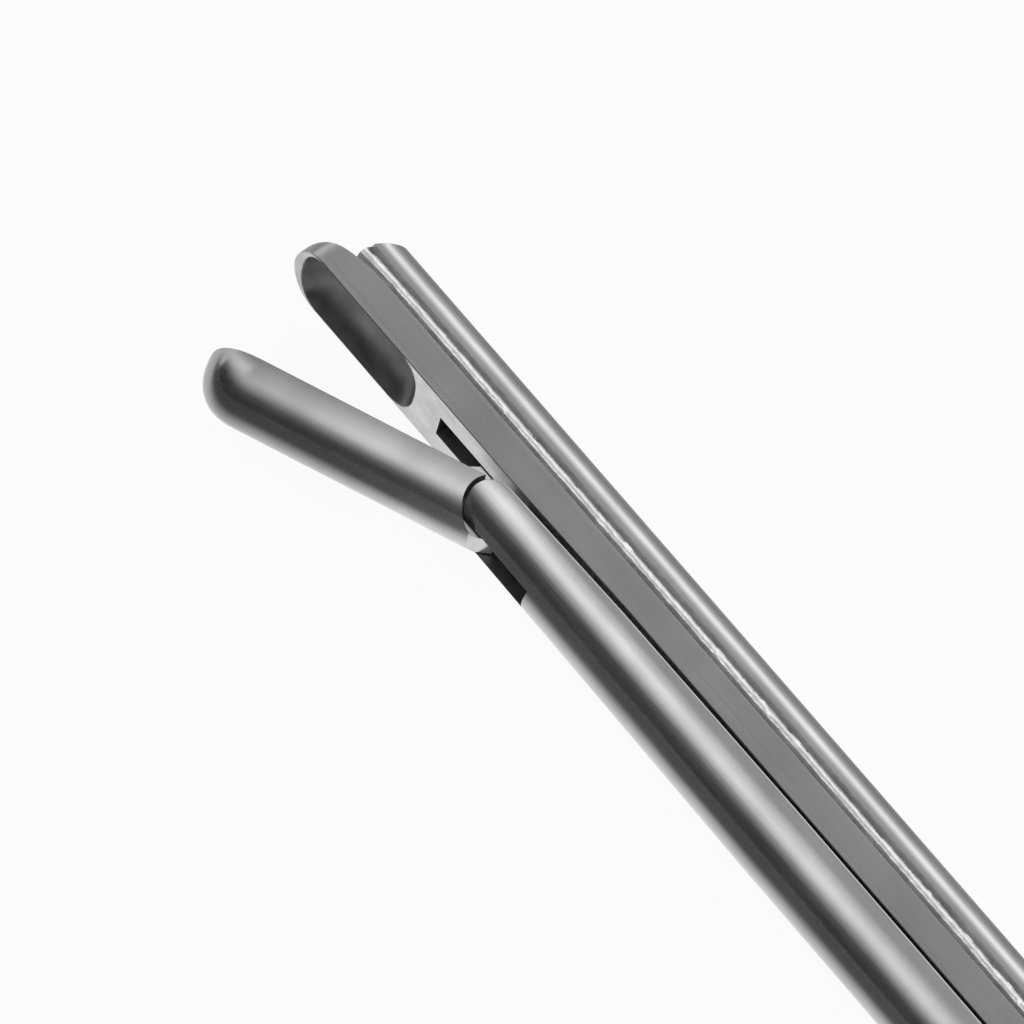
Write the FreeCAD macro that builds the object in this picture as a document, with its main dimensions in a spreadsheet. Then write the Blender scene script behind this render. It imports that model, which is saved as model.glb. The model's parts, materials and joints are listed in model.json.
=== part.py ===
import FreeCAD, Part
import Sketcher
import math
import os

# Nasal suction forceps, lying on its side: tip towards +X, slide towards +Y, near side up (+Z).
# The origin is on the axis of the handle pivot, in the plane that the handle block lies on.

document = FreeCAD.newDocument("forceps")
sheet = document.addObject("Spreadsheet::Sheet", "sizes")


class Size:
    """A length or an angle in degrees, with the formula that works it out in the sheet."""

    def __init__(self, number, formula):
        self.number = number
        self.formula = formula

    def joined(self, sign, other, number):
        return Size(number, "(" + self.formula + " " + sign + " " + other.formula + ")")

    def __add__(self, other):
        other = as_size(other)
        return self.joined("+", other, self.number + other.number)

    def __sub__(self, other):
        other = as_size(other)
        return self.joined("-", other, self.number - other.number)

    def __mul__(self, other):
        other = as_size(other)
        return self.joined("*", other, self.number * other.number)

    def __truediv__(self, other):
        other = as_size(other)
        return self.joined("/", other, self.number / other.number)

    def __radd__(self, other):
        return as_size(other) + self

    def __rsub__(self, other):
        return as_size(other) - self

    def __rmul__(self, other):
        return as_size(other) * self

    def __rtruediv__(self, other):
        return as_size(other) / self

    def __neg__(self):
        return Size(-self.number, "(-" + self.formula + ")")


def as_size(value):
    if isinstance(value, Size):
        return value
    return Size(float(value), "(" + repr(float(value)) + ")")


def cosine(angle):
    angle = as_size(angle)
    return Size(math.cos(math.radians(angle.number)), "cos(" + angle.formula + ")")


def sine(angle):
    angle = as_size(angle)
    return Size(math.sin(math.radians(angle.number)), "sin(" + angle.formula + ")")


def root(value):
    value = as_size(value)
    return Size(math.sqrt(value.number), "sqrt(" + value.formula + ")")


dimensions = {
    # Shaft and jaws
    "tip_reach": 130,
    "shaft_width": 4,
    "bar_thickness": 1.4,
    "bar_rear_reach": 14,
    "nose_depth": 1.15,
    "nose_corner": 0.7,
    "back_slope_length": 3.45,
    "tip_rounding": 0.7,
    "jaw_gap": 0.04,
    # Cups in the jaws
    "cup_start": 0.55,
    "cup_length": 7,
    "cup_rim": 0.14,
    "cup_depth": 1,
    "jaw_cup_rim": 0.24,
    "jaw_cup_depth": 1.3,
    # Jaw hinge and its drive
    "jaw_pivot_back": 12.75,
    "jaw_pivot_depth": 0.75,
    "jaw_pin_diameter": 0.6,
    "jaw_boss": 0.55,
    "open_angle": 23.5,
    "full_open_angle": 40,
    "pin_fit": 0.01,
    "pin_play": 0.03,
    "pin_recess": 0.02,
    "drive_pin_length": 3,
    "tongue_width": 1.25,
    "tongue_play": 0.1,
    "tongue_keel": 3.3,
    "tongue_sink": 0.2,
    "tongue_crown_back": 0.09,
    "tongue_back": 0.78,
    "tongue_back_drop": 0.28,
    "bar_slot_front": 8.7,
    "bar_slot_back": 15.5,
    # Slide
    "slide_gap_front": 0.16,
    "slide_gap": 0.05,
    "slide_flank": 0.22,
    "slide_slant": 0.7,
    "slide_taper_length": 17,
    "slide_rear_reach": 11,
    "slide_end_round": 0.8,
    "root_gap": 0.14,
    "window_back": 3.4,
    # Guide studs
    "guide_front_reach": 96,
    "guide_rear_reach": 26,
    "stud_diameter": 1,
    "stud_head_diameter": 1.9,
    "stud_head_height": 0.5,
    "stud_neck_height": 0.6,
    "stud_play": 0.06,
    "stud_end_play": 0.3,
    # Suction tube, its braze and its hose connection
    "tube_diameter": 2.4,
    "tube_wall": 0.22,
    "tube_mouth_back": 1.3,
    "mouth_bevel": 0.7,
    "tube_leaves_bar": 47,
    "tube_bend": 4,
    "tube_drop": 13,
    "braze_reach": 1.75,
    "braze_side_height": 0.28,
    "braze_bulge": 1.76,
    "braze_inner": 0.48,
    "braze_end_back": 0.18,
    "seat_fit": 0.02,
    "ferrule_length": 4,
    "ferrule_wall": 0.6,
    "nipple_seat_depth": 4,
    "nipple_collar_length": 3,
    "nipple_collar_diameter": 5,
    "nipple_length": 12,
    "nipple_diameter": 4.4,
    "nipple_bore": 2,
    "nipple_groove": 0.3,
    "nipple_groove_width": 0.8,
    "nipple_groove_pitch": 4,
    "nipple_lead": 0.8,
    # Handle block, fixed handle
    "handle_thickness": 5,
    "mating_height": 4.6,
    "channel_play": 0.02,
    "block_front_reach": 12.5,
    "block_rear_reach": 15,
    "block_boss": 7.5,
    "boss_start_angle": -115,
    "boss_end_angle": -25,
    "block_front_height": 2.4,
    "block_rear_height": 4.1,
    "block_under_round": 12,
    "block_rear_round": 20,
    "rivet_front_reach": 9.2,
    "rivet_rear_reach": 10.2,
    "rivet_diameter": 0.8,
    "thumb_angle": -126,
    "thumb_reach": 61,
    "thumb_root_reach": 12,
    "root_width": 5.8,
    "shank_width": 4.4,
    "shank_end_width": 4.6,
    "shank_bevel": 1.1,
    "shank_bow": 1.2,
    # Rings
    "ring_inner_length": 26,
    "ring_inner_width": 20,
    "ring_wire": 3.4,
    "ring_end_round": 10,
    "ring_bevel": 1,
    # Moving handle and its pivot
    "finger_angle": -87.2,
    "finger_reach": 62,
    "finger_root_reach": 8.7,
    "finger_root_width": 5.2,
    "lever_thickness": 1.6,
    "lever_boss": 4.4,
    "lever_slot_play": 0.5,
    "lever_end": 1.15,
    "lever_pin_height": 1,
    "lever_pin_diameter": 1,
    "lever_pin_length": 3,
    "lever_side_play": 0.05,
    "screw_diameter": 2.8,
    "screw_head_diameter": 4.6,
    "screw_head_height": 0.6,
    "screw_recess": 0.1,
    "screw_floor": 0.4,
    "driver_slot_width": 0.6,
    "driver_slot_depth": 0.3,
}


class Dimensions:
    """The driving dimensions, each in a cell of the sheet and read as a Size."""

    def __init__(self, numbers):
        for row, (name, number) in enumerate(numbers.items(), 1):
            cell = "B" + str(row)
            sheet.set("A" + str(row), name)
            sheet.set(cell, str(number))
            sheet.setAlias(cell, name)
            setattr(self, name, Size(float(number), "sizes." + name))


dim = Dimensions(dimensions)
document.recompute()

# Sizes that follow from the driving dimensions
half_width = dim.shaft_width / 2
mid_height = dim.handle_thickness / 2
degree = as_size(math.pi) / 180
jaw_pivot_x = dim.tip_reach - dim.jaw_pivot_back
slide_nose = (half_width - dim.slide_gap_front) / 2
drive_height = dim.slide_gap_front + slide_nose
slide_slope = sine(dim.slide_slant) / cosine(dim.slide_slant)
slide_rise = (dim.slide_taper_length + slide_nose) * slide_slope
jaw_arm = dim.jaw_pivot_depth + drive_height
lever_arm = dim.mating_height + dim.lever_pin_height
mid_open = dim.full_open_angle / 2
rest_offset = dim.open_angle - mid_open
jaw_travel = jaw_arm * dim.full_open_angle * degree
slide_rest = jaw_arm * rest_offset * degree
drive_x = jaw_pivot_x - slide_rest
lever_rest_angle = rest_offset * jaw_arm / lever_arm
jaw_pin_radius = dim.jaw_pin_diameter / 2
tube_radius = dim.tube_diameter / 2
tube_bore = tube_radius - dim.tube_wall
tube_axis = dim.bar_thickness + tube_radius
tube_turn_x = dim.tube_leaves_bar - dim.tube_bend
tube_end_y = dim.mating_height - tube_axis - dim.tube_bend - dim.tube_drop
tube_front = dim.tip_reach - dim.tube_mouth_back
lever_slot_width = dim.lever_thickness + 2 * dim.lever_side_play

nodes = []


def new_body(name, x=0.0, y=0.0, z=mid_height, angle=None):
    """A body with its label and with its place bound to the sheet."""
    body = document.addObject("PartDesign::Body", name)
    body.Label = name
    place(body, x, y, z, angle)
    nodes.append(body)
    return body


def place(item, x, y, z, angle=None):
    for axis, value in (("x", x), ("y", y), ("z", z)):
        item.setExpression(".Placement.Base." + axis, as_size(value).formula)
    if angle is not None:
        item.setExpression(".Placement.Rotation.Angle", angle.formula)


def new_sketch(body, name, plane, offset=(0.0, 0.0, 0.0), turn=None, turn_axis=(0, 0, 1)):
    """A sketch on an origin plane of its body, moved and turned within that plane's own frame."""
    sketch = body.newObject("Sketcher::SketchObject", name)
    support = [item for item in body.Origin.OriginFeatures if item.Role == plane][0]
    sketch.AttachmentSupport = [(support, "")]
    sketch.MapMode = "FlatFace"
    if turn is not None:
        sketch.AttachmentOffset = FreeCAD.Placement(
            FreeCAD.Vector(0, 0, 0), FreeCAD.Rotation(FreeCAD.Vector(*turn_axis), turn.number))
        sketch.setExpression(".AttachmentOffset.Rotation.Angle", turn.formula)
    for axis, value in zip("xyz", offset):
        sketch.setExpression(".AttachmentOffset.Base." + axis, as_size(value).formula)
    return sketch


def hold(sketch, kind, *details):
    """Adds one dimension to a sketch and binds it to the sheet."""
    size = details[-1]
    index = sketch.addConstraint(Sketcher.Constraint(kind, *details[:-1], size.number))
    sketch.setExpression("Constraints[" + str(index) + "]", size.formula)


def arc_middle(start, end, radius):
    """The middle of the arc from start to end: radius above 0 turns left, below 0 turns right."""
    chord = end - start
    middle = (start + end) / 2
    half = chord.Length / 2
    reach = math.sqrt(max(radius * radius - half * half, 0.0))
    left = FreeCAD.Vector(-chord.y, chord.x, 0) / chord.Length
    side = -1 if radius > 0 else 1
    return middle + left * side * (abs(radius) - reach)


def draw(sketch, corners, closed=True):
    """Draws a chain of lines and arcs: a corner is (x, y), or (x, y, radius) where an arc ends."""
    corners = [tuple(as_size(value) for value in corner) for corner in corners]
    points = [FreeCAD.Vector(corner[0].number, corner[1].number, 0) for corner in corners]
    count = len(corners)
    pieces = []
    ends = count if closed else count - 1
    for start in range(ends):
        end = (start + 1) % count
        if len(corners[end]) == 3:
            middle = arc_middle(points[start], points[end], corners[end][2].number)
            arc = Part.Arc(points[start], middle, points[end])
            piece = sketch.addGeometry(arc, False)
            turns_left = corners[end][2].number > 0
            first, last = (1, 2) if turns_left else (2, 1)
            pieces.append((piece, first, last, corners[end][2]))
        else:
            piece = sketch.addGeometry(Part.LineSegment(points[start], points[end]), False)
            pieces.append((piece, 1, 2, None))
    for order in range(ends - (0 if closed else 1)):
        piece, first, last, radius = pieces[order]
        following = pieces[(order + 1) % len(pieces)]
        sketch.addConstraint(Sketcher.Constraint("Coincident", piece, last, following[0], following[1]))
    for order in range(ends):
        piece, first, last, radius = pieces[order]
        hold(sketch, "DistanceX", -1, 1, piece, first, corners[order][0])
        hold(sketch, "DistanceY", -1, 1, piece, first, corners[order][1])
        if radius is not None:
            size = radius if radius.number > 0 else -radius
            hold(sketch, "Radius", piece, size)
    if not closed:
        piece, first, last, radius = pieces[-1]
        hold(sketch, "DistanceX", -1, 1, piece, last, corners[-1][0])
        hold(sketch, "DistanceY", -1, 1, piece, last, corners[-1][1])
    return sketch


def draw_circle(sketch, x, y, radius):
    x, y, radius = as_size(x), as_size(y), as_size(radius)
    centre = FreeCAD.Vector(x.number, y.number, 0)
    circle = Part.Circle(centre, FreeCAD.Vector(0, 0, 1), radius.number)
    piece = sketch.addGeometry(circle, False)
    hold(sketch, "Radius", piece, radius)
    hold(sketch, "DistanceX", -1, 1, piece, 3, x)
    hold(sketch, "DistanceY", -1, 1, piece, 3, y)
    return sketch


def obround(sketch, start, end, half, along_y=False):
    """A slot with round ends, of half width half, from start to end along one axis of the sketch."""
    start, end, half = as_size(start), as_size(end), as_size(half)
    low, high = start + half, end - half
    corners = [
        (low, -half, half), (high, -half), (end, 0, half), (high, half, half), (low, half),
        (start, 0, half)]
    if along_y:
        corners = [(-corner[1], corner[0]) + corner[2:] for corner in corners]
    return draw(sketch, corners)


def oval_quarter(long_half, short_half, end_round):
    """Joins an end arc and a side arc of an oval: gives the join and the side arc's radius."""
    side_round = (((long_half - end_round) * (long_half - end_round) + short_half * short_half
                   - end_round * end_round) / (2 * (short_half - end_round)))
    centre_gap = side_round - end_round
    join_x = (long_half - end_round) + (long_half - end_round) * end_round / centre_gap
    join_y = (side_round - short_half) * end_round / centre_gap
    return join_x, join_y, side_round


def pad(body, sketch, length, both_ways=True, reverse=False):
    feature = body.newObject("PartDesign::Pad", sketch.Name + "_pad")
    feature.Profile = sketch
    feature.Type = "Length"
    feature.SideType = "Symmetric" if both_ways else "One side"
    feature.Reversed = reverse
    feature.setExpression("Length", as_size(length).formula)
    sketch.Visibility = False
    return feature


def pocket(body, sketch, length=None, both_ways=True, reverse=False):
    """Cuts a sketch out of the body, all the way through both ways where no length is given."""
    feature = body.newObject("PartDesign::Pocket", sketch.Name + "_pocket")
    feature.Profile = sketch
    feature.SideType = "Symmetric" if both_ways else "One side"
    feature.Reversed = reverse
    if length is None:
        feature.Type = "ThroughAll"
    else:
        feature.Type = "Length"
        feature.setExpression("Length", as_size(length).formula)
    sketch.Visibility = False
    return feature


def turned(body, sketch, angle=360, axis="H_Axis"):
    feature = body.newObject("PartDesign::Revolution", sketch.Name + "_turned")
    feature.Profile = sketch
    feature.ReferenceAxis = (sketch, [axis])
    feature.Angle = angle
    feature.Midplane = angle != 360
    sketch.Visibility = False
    return feature


def loft(body, sketches):
    feature = body.newObject("PartDesign::AdditiveLoft", sketches[0].Name + "_loft")
    feature.Profile = sketches[0]
    feature.Sections = sketches[1:]
    for sketch in sketches:
        sketch.Visibility = False
    return feature


def new_cylinder(name, radius, length, x, y, z):
    item = document.addObject("Part::Cylinder", name)
    item.setExpression("Radius", as_size(radius).formula)
    item.setExpression("Height", as_size(length).formula)
    place(item, x, y, z)
    return item


def cup(body, name, tip, half, depth, upwards):
    """A scooped cup, turned about an axis outside the jaw: a round-bottomed trough with round ends."""
    front = tip - dim.cup_start
    back = front - dim.cup_length
    radius = (half * half + depth * depth) / (2 * depth)
    lift = (depth - radius) if upwards else (radius - depth)
    sketch = new_sketch(body, name + "_trough", "XY_Plane", (0.0, lift, 0.0))
    draw(sketch, [
        (back + half - radius, 0, radius), (front - half + radius, 0), (front - half, radius, radius),
        (back + half, radius)])
    feature = body.newObject("PartDesign::Groove", name)
    feature.Profile = sketch
    feature.ReferenceAxis = (sketch, ["H_Axis"])
    feature.Angle = 360
    sketch.Visibility = False
    return feature


def fixed_shaft():
    """The flat bar, from the handle block to the cup of the fixed jaw at its tip."""
    body = new_body("fixed_shaft", 0.0, dim.mating_height)
    join_x, join_y, slope_round = oval_quarter(dim.back_slope_length, dim.bar_thickness, dim.tip_rounding)
    slope_start = dim.tip_reach - dim.back_slope_length
    side = new_sketch(body, "bar_side", "XY_Plane")
    draw(side, [
        (-dim.bar_rear_reach, 0), (-dim.bar_rear_reach, -dim.bar_thickness),
        (slope_start, -dim.bar_thickness), (slope_start + join_x, -join_y, slope_round),
        (dim.tip_reach, 0, dim.tip_rounding)])
    pad(body, side, dim.shaft_width)
    join_z, join_x, nose_round = oval_quarter(half_width, dim.nose_depth, dim.nose_corner)
    nose_start = dim.tip_reach - dim.nose_depth
    for name, hand in (("near", 1), ("far", -1)):
        nose = new_sketch(body, "nose_" + name, "XZ_Plane")
        draw(nose, nose_corners(hand, nose_start, join_x, join_z, nose_round))
        pocket(body, nose)
    cup(body, "cup", dim.tip_reach, half_width - dim.cup_rim, dim.cup_depth, False)
    slot = new_sketch(body, "tongue_slot", "XZ_Plane")
    slot_back = dim.tip_reach - dim.bar_slot_back
    slot_front = dim.tip_reach - dim.bar_slot_front
    slot_half = dim.tongue_width / 2 + dim.tongue_play
    draw(slot, [
        (slot_back, -slot_half), (slot_front, -slot_half), (slot_front, slot_half), (slot_back, slot_half)])
    pocket(body, slot)
    hole = new_sketch(body, "pivot_hole", "XY_Plane")
    draw_circle(hole, jaw_pivot_x, -dim.jaw_pivot_depth, jaw_pin_radius + dim.pin_fit)
    pocket(body, hole)
    for name, reach in (("front", dim.guide_front_reach), ("rear", dim.guide_rear_reach)):
        hole = new_sketch(body, "stud_hole_" + name, "XZ_Plane")
        draw_circle(hole, reach, 0, dim.stud_diameter / 2 + dim.pin_fit)
        pocket(body, hole)
    for name, x in (("front", dim.rivet_front_reach), ("rear", -dim.rivet_rear_reach)):
        hole = new_sketch(body, "rivet_hole_" + name, "XY_Plane")
        draw_circle(hole, x, -dim.bar_thickness / 2, dim.rivet_diameter / 2 + dim.pin_fit)
        pocket(body, hole)
    lever_slot = new_sketch(body, "lever_slot", "XZ_Plane")
    lever_reach = dim.lever_boss + dim.lever_slot_play
    obround(lever_slot, -lever_reach, lever_reach, lever_slot_width / 2)
    pocket(body, lever_slot)


def nose_corners(hand, nose_start, join_x, join_z, nose_round):
    """The outline that trims one side of the fixed jaw to its round nose."""
    outside = dim.tip_reach + dim.nose_depth
    return [
        (outside, 0), (outside, hand * dim.shaft_width), (nose_start, hand * dim.shaft_width),
        (nose_start, hand * half_width), (nose_start + join_x, hand * join_z, -hand * dim.nose_corner),
        (dim.tip_reach, 0, -hand * nose_round)]


def moving_jaw():
    """The half-round cup jaw with its tongue, drawn shut and turned to its rest opening."""
    tilt_x = sine(dim.open_angle) * (dim.jaw_pivot_depth + dim.jaw_gap)
    rise = cosine(dim.open_angle) * (dim.jaw_pivot_depth + dim.jaw_gap) - dim.jaw_pivot_depth
    tilted_y = dim.mating_height + rise
    body = new_body("moving_jaw", jaw_pivot_x - tilt_x, tilted_y, mid_height, dim.open_angle)
    pivot_y = -(dim.jaw_pivot_depth + dim.jaw_gap)
    length = dim.jaw_pivot_back - dim.jaw_gap
    slot_tilt = mid_open
    slot_low = jaw_arm - dim.pin_play
    slot_high = jaw_arm / cosine(mid_open) + dim.pin_play
    middle_arm = (slot_low + slot_high) / 2
    drive_in_jaw_x = middle_arm * sine(slot_tilt)
    drive_in_jaw_y = pivot_y + middle_arm * cosine(slot_tilt)
    root_round = slide_nose + dim.root_gap
    profile = new_sketch(body, "jaw_profile", "XY_Plane")
    draw(profile, [
        (drive_in_jaw_x + root_round / 2, 0), (length, 0), (length - half_width, half_width, half_width),
        (drive_in_jaw_x + root_round / 2, half_width)])
    turned(body, profile, 180)
    hollow = new_sketch(body, "root_hollow", "XY_Plane")
    draw_circle(hollow, drive_in_jaw_x, drive_in_jaw_y, root_round)
    pocket(body, hollow)
    cup(body, "jaw_cup", length, half_width - dim.jaw_cup_rim, dim.jaw_cup_depth, True)
    tongue = new_sketch(body, "tongue", "XY_Plane")
    tongue_top = drive_in_jaw_y + slide_nose
    boss_low = pivot_y - dim.jaw_boss
    draw(tongue, [
        (-dim.jaw_boss, pivot_y), (0, boss_low, dim.jaw_boss), (dim.jaw_boss, boss_low),
        (dim.tongue_keel, 0), (dim.tongue_keel, half_width - dim.tongue_sink),
        (drive_in_jaw_x + root_round / 2, tongue_top), (drive_in_jaw_x - dim.tongue_crown_back, tongue_top),
        (drive_in_jaw_x - dim.tongue_back, tongue_top - dim.tongue_back_drop)])
    pad(body, tongue, dim.tongue_width)
    hole = new_sketch(body, "jaw_hole", "XY_Plane")
    draw_circle(hole, 0, pivot_y, jaw_pin_radius + dim.pin_play)
    pocket(body, hole)
    slot = new_sketch(body, "drive_slot", "XY_Plane", (0.0, pivot_y, 0.0), -slot_tilt)
    half = jaw_pin_radius + 2 * dim.pin_play
    obround(slot, slot_low - half, slot_high + half, half, True)
    pocket(body, slot)


def slide_shaft():
    """The half-round slide that pushes the jaw shut, drawn at its rest place."""
    body = new_body("slide_shaft", 0.0, dim.mating_height)
    front = drive_x + slide_nose
    taper_end = drive_x - dim.slide_taper_length
    top = half_width
    half = root(half_width * half_width - dim.slide_flank * dim.slide_flank)
    flank_top = slide_rise + dim.slide_flank
    section = new_sketch(body, "slide_section", "YZ_Plane", (0.0, 0.0, front))
    draw(section, [
        (dim.slide_gap, -half), (dim.slide_gap, half), (flank_top, half),
        (slide_rise + half_width, 0, -half_width), (flank_top, -half, -half_width)])
    pad(body, section, front + dim.slide_rear_reach, False, True)
    crown_x = taper_end - half_width
    crown_y = slide_rise + half_width * slide_slope
    outside = dim.shaft_width
    crown = new_sketch(body, "slide_crown", "YZ_Plane", (crown_y, 0.0, crown_x), -dim.slide_slant, (0, 1, 0))
    draw(crown, [
        (dim.slide_flank, half, half_width), (dim.slide_flank, outside), (outside, outside),
        (outside, -outside), (dim.slide_flank, -outside), (dim.slide_flank, -half),
        (half_width, 0, half_width)])
    pocket(body, crown, front - crown_x + half_width, False, True)
    relief = new_sketch(body, "slide_relief", "XY_Plane")
    draw(relief, [
        (taper_end, dim.slide_gap), (taper_end, -top), (front + top, -top), (front + top, dim.slide_gap_front),
        (front, dim.slide_gap_front)])
    pocket(body, relief)
    trim = new_sketch(body, "slide_nose_trim", "XY_Plane")
    draw(trim, [
        (drive_x, top), (front, drive_height, -slide_nose), (drive_x, dim.slide_gap_front, -slide_nose),
        (drive_x, -slide_nose), (front + slide_nose, -slide_nose), (front + slide_nose, top + slide_nose),
        (drive_x, top + slide_nose)])
    pocket(body, trim)
    rear = new_sketch(body, "slide_rear_trim", "XY_Plane")
    rear_top = slide_rise + half_width
    draw(rear, [
        (-dim.slide_rear_reach, rear_top - dim.slide_end_round),
        (dim.slide_end_round - dim.slide_rear_reach, rear_top, -dim.slide_end_round),
        (dim.slide_end_round - dim.slide_rear_reach, rear_top + dim.slide_end_round),
        (-dim.slide_rear_reach - dim.slide_end_round, rear_top + dim.slide_end_round),
        (-dim.slide_rear_reach - dim.slide_end_round, rear_top - dim.slide_end_round)])
    pocket(body, rear)
    window = new_sketch(body, "window", "XZ_Plane")
    window_half = dim.tongue_width / 2 + dim.tongue_play + dim.pin_recess
    window_end = drive_x - dim.window_back
    window_mouth = front + slide_nose
    draw(window, [
        (window_end, -window_half), (window_mouth, -window_half), (window_mouth, window_half),
        (window_end, window_half)])
    pocket(body, window)
    hole = new_sketch(body, "drive_hole", "XY_Plane")
    draw_circle(hole, drive_x, drive_height, jaw_pin_radius + dim.pin_fit)
    pocket(body, hole)
    lever_slot = new_sketch(body, "slide_lever_slot", "XZ_Plane")
    reach = dim.lever_end + 2 * dim.lever_slot_play + lever_slot_width / 2
    obround(lever_slot, -slide_rest - reach, -slide_rest + reach, lever_slot_width / 2)
    pocket(body, lever_slot)
    hole = new_sketch(body, "slide_lever_hole", "XY_Plane")
    draw_circle(hole, -slide_rest, dim.lever_pin_height, dim.lever_pin_diameter / 2 + dim.pin_fit)
    pocket(body, hole)
    stem_half = dim.stud_diameter / 2 + dim.stud_play
    head_half = dim.stud_head_diameter / 2 + dim.stud_play
    forward = jaw_travel * dim.open_angle / dim.full_open_angle
    for name, reach in (("front", dim.guide_front_reach), ("rear", dim.guide_rear_reach)):
        back_end = reach - forward - dim.stud_end_play
        front_end = reach + jaw_travel - forward + dim.stud_end_play
        neck_top = dim.stud_neck_height - dim.stud_play
        head_top = dim.stud_neck_height + dim.stud_head_height + dim.stud_play
        neck = new_sketch(body, "neck_slot_" + name, "XZ_Plane", (0.0, 0.0, dim.stud_neck_height))
        obround(neck, back_end - stem_half, front_end + stem_half, stem_half)
        pocket(body, neck, neck_top + dim.stud_neck_height, False)
        chamber = new_sketch(body, "head_slot_" + name, "XZ_Plane", (0.0, 0.0, -neck_top))
        obround(chamber, back_end - head_half, front_end + head_half, head_half)
        pocket(body, chamber, head_top - neck_top, False)


def guide_studs():
    """T-headed studs, riveted in the bar, whose heads run inside the slide."""
    for name, reach in (("front", dim.guide_front_reach), ("rear", dim.guide_rear_reach)):
        body = new_body("guide_stud_" + name, reach, dim.mating_height)
        profile = new_sketch(body, "stud_profile_" + name, "XY_Plane")
        top = dim.stud_neck_height + dim.stud_head_height
        foot = dim.pin_recess - dim.bar_thickness
        stem = dim.stud_diameter / 2
        head = dim.stud_head_diameter / 2
        draw(profile, [
            (0, foot), (stem, foot), (stem, dim.stud_neck_height), (head, dim.stud_neck_height),
            (head, top), (0, top)])
        turned(body, profile, 360, "V_Axis")


def cross_pins():
    """The plain round pins that lie across the instrument."""
    new_cylinder("jaw_pivot_pin", jaw_pin_radius, dim.shaft_width - 2 * dim.pin_recess, jaw_pivot_x,
                 dim.mating_height - dim.jaw_pivot_depth, mid_height - half_width + dim.pin_recess)
    new_cylinder("jaw_drive_pin", jaw_pin_radius, dim.drive_pin_length, drive_x,
                 dim.mating_height + drive_height, mid_height - dim.drive_pin_length / 2)
    new_cylinder("lever_pin", dim.lever_pin_diameter / 2, dim.lever_pin_length, -slide_rest,
                 dim.mating_height + dim.lever_pin_height, mid_height - dim.lever_pin_length / 2)
    for name, x in (("front", dim.rivet_front_reach), ("rear", -dim.rivet_rear_reach)):
        length = dim.handle_thickness - 2 * dim.pin_recess
        new_cylinder("handle_rivet_" + name, dim.rivet_diameter / 2, length, x,
                     dim.mating_height - dim.bar_thickness / 2, dim.pin_recess)


def suction_tube():
    """The tube along the bar's back, its bevelled mouth beside the fixed jaw, its tail bent down."""
    body = new_body("suction_tube", 0.0, dim.mating_height)
    ring = new_sketch(body, "tube_ring", "YZ_Plane", (0.0, 0.0, tube_front))
    draw_circle(ring, -tube_axis, 0, tube_radius)
    draw_circle(ring, -tube_axis, 0, tube_bore)
    path = new_sketch(body, "tube_path", "XY_Plane")
    bend_y = -tube_axis - dim.tube_bend
    draw(path, [
        (tube_front, -tube_axis), (dim.tube_leaves_bar, -tube_axis), (tube_turn_x, bend_y, dim.tube_bend),
        (tube_turn_x, bend_y - dim.tube_drop)], False)
    sweep = body.newObject("PartDesign::AdditivePipe", "tube_sweep")
    sweep.Profile = ring
    sweep.Spine = (path, [])
    ring.Visibility = False
    path.Visibility = False
    bevel = new_sketch(body, "mouth_bevel", "XY_Plane")
    outside = tube_axis + dim.tube_diameter
    draw(bevel, [
        (tube_front, -tube_axis), (tube_front - dim.mouth_bevel, -tube_axis - tube_radius),
        (tube_front - dim.mouth_bevel, -outside), (tube_front + dim.mouth_bevel, -outside),
        (tube_front + dim.mouth_bevel, -tube_axis)])
    pocket(body, bevel)


def braze_seams():
    """The filler metal in the two corners between tube and bar, and under the sloping nose."""
    slope_start = dim.tip_reach - dim.back_slope_length
    join_x, join_y, slope_round = oval_quarter(dim.back_slope_length, dim.bar_thickness, dim.tip_rounding)
    shell = tube_radius + dim.seat_fit
    top = -dim.bar_thickness - dim.seat_fit
    inner = dim.braze_inner
    inner_y = -tube_axis + root(shell * shell - inner * inner)
    side_y = -tube_axis + dim.braze_side_height
    side_z = root(shell * shell - dim.braze_side_height * dim.braze_side_height)
    for name, hand in (("near", 1), ("far", -1)):
        body = new_body("braze_seam_" + name, 0.0, dim.mating_height)
        section = new_sketch(body, "seam_section_" + name, "YZ_Plane", (0.0, 0.0, dim.tube_leaves_bar))
        draw(section, [
            (top, hand * inner), (top, hand * dim.braze_reach),
            (side_y, hand * side_z, hand * dim.braze_bulge), (inner_y, hand * inner, -hand * shell)])
        pad(body, section, slope_start - dim.tube_leaves_bar, False)
        wedge = new_sketch(body, "seam_wedge_" + name, "XY_Plane")
        wedge_end = tube_front - dim.braze_end_back
        draw(wedge, [
            (slope_start, side_y), (wedge_end, side_y), (wedge_end, dim.seat_fit - dim.bar_thickness),
            (slope_start, top)])
        pad(body, wedge, dim.braze_reach, False, hand < 0)
        groove = new_sketch(body, "tube_seat_" + name, "YZ_Plane", (0.0, 0.0, dim.tip_reach))
        draw_circle(groove, -tube_axis, 0, shell)
        pocket(body, groove)


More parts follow.
